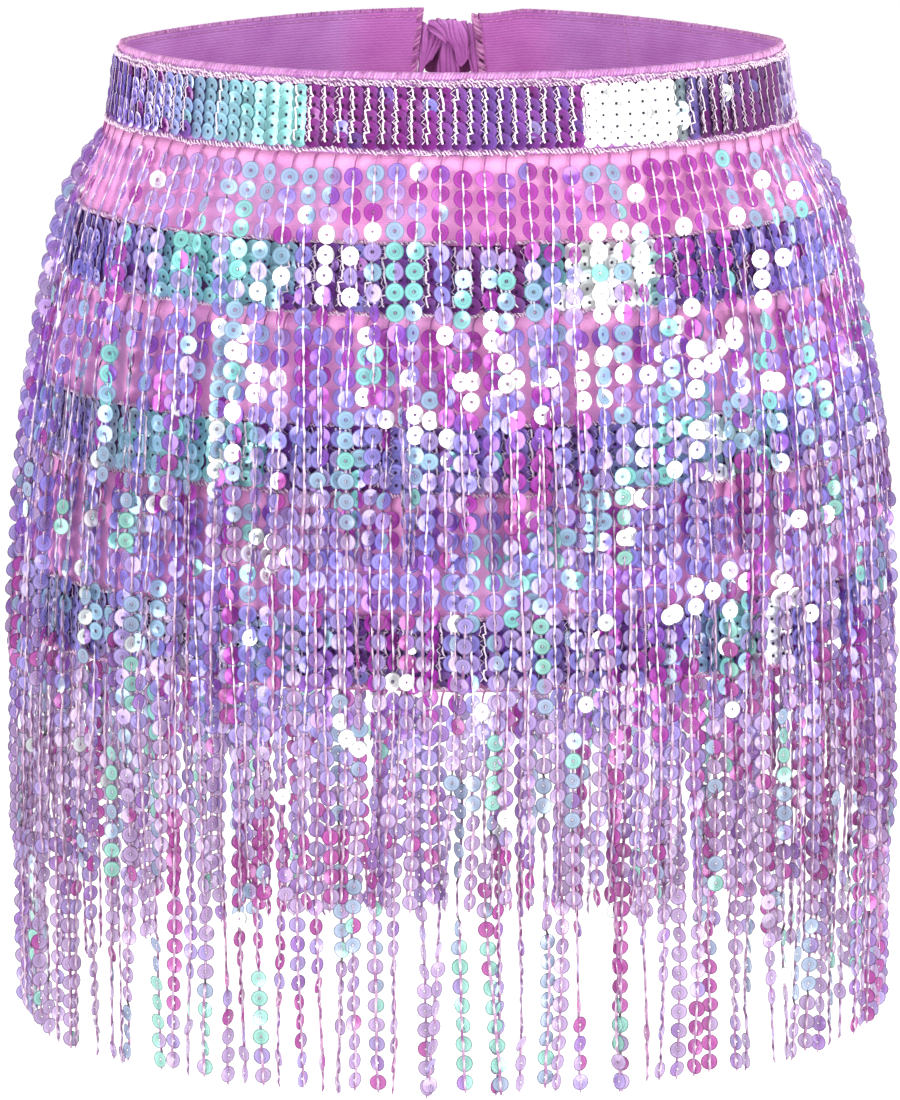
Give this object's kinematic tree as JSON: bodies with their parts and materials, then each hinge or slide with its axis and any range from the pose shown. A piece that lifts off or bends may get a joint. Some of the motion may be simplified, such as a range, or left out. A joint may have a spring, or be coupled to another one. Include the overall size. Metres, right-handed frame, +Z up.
{
  "type": "belly dance hip scarf",
  "caption": "Tiered skirt of sequin fringe on a stretch waistband and panel, worn shape, open and tied at the centre back.",
  "frame": {"origin": "middle of the waistband's ring, level with its top edge, where the wearer's waist holds it", "axes": "+Z up the wearer's body, -Y towards the front, +X across the hips"},
  "size_m": [0.3168, 0.2359, 0.3492],
  "materials": {
    "waist_elastic": "ribbed stretch elastic",
    "stretch_cloth": "matt stretch knit",
    "band_sequins": "iridescent sequins sewn in columns",
    "fringe_sequins": "iridescent sequins on thread",
    "edge_thread": "overlocked thread",
    "tie_cloth": "gathered stretch cloth"
  },
  "bodies": {
    "root": {"waistband": "waist_elastic", "skirt_panel": "stretch_cloth", "sequin_band_1": "band_sequins", "sequin_band_2": "band_sequins", "sequin_band_3": "band_sequins", "sequin_band_4": "band_sequins", "fringe_1": "fringe_sequins", "fringe_2": "fringe_sequins", "fringe_3": "fringe_sequins", "fringe_4": "fringe_sequins", "back_edge_left": "edge_thread", "back_edge_right": "edge_thread", "tie_knot": "tie_cloth", "tie_strap_left": "tie_cloth", "tie_strap_right": "tie_cloth", "tie_tail_long": "tie_cloth", "tie_tail_short": "tie_cloth"}
  },
  "joints": []
}
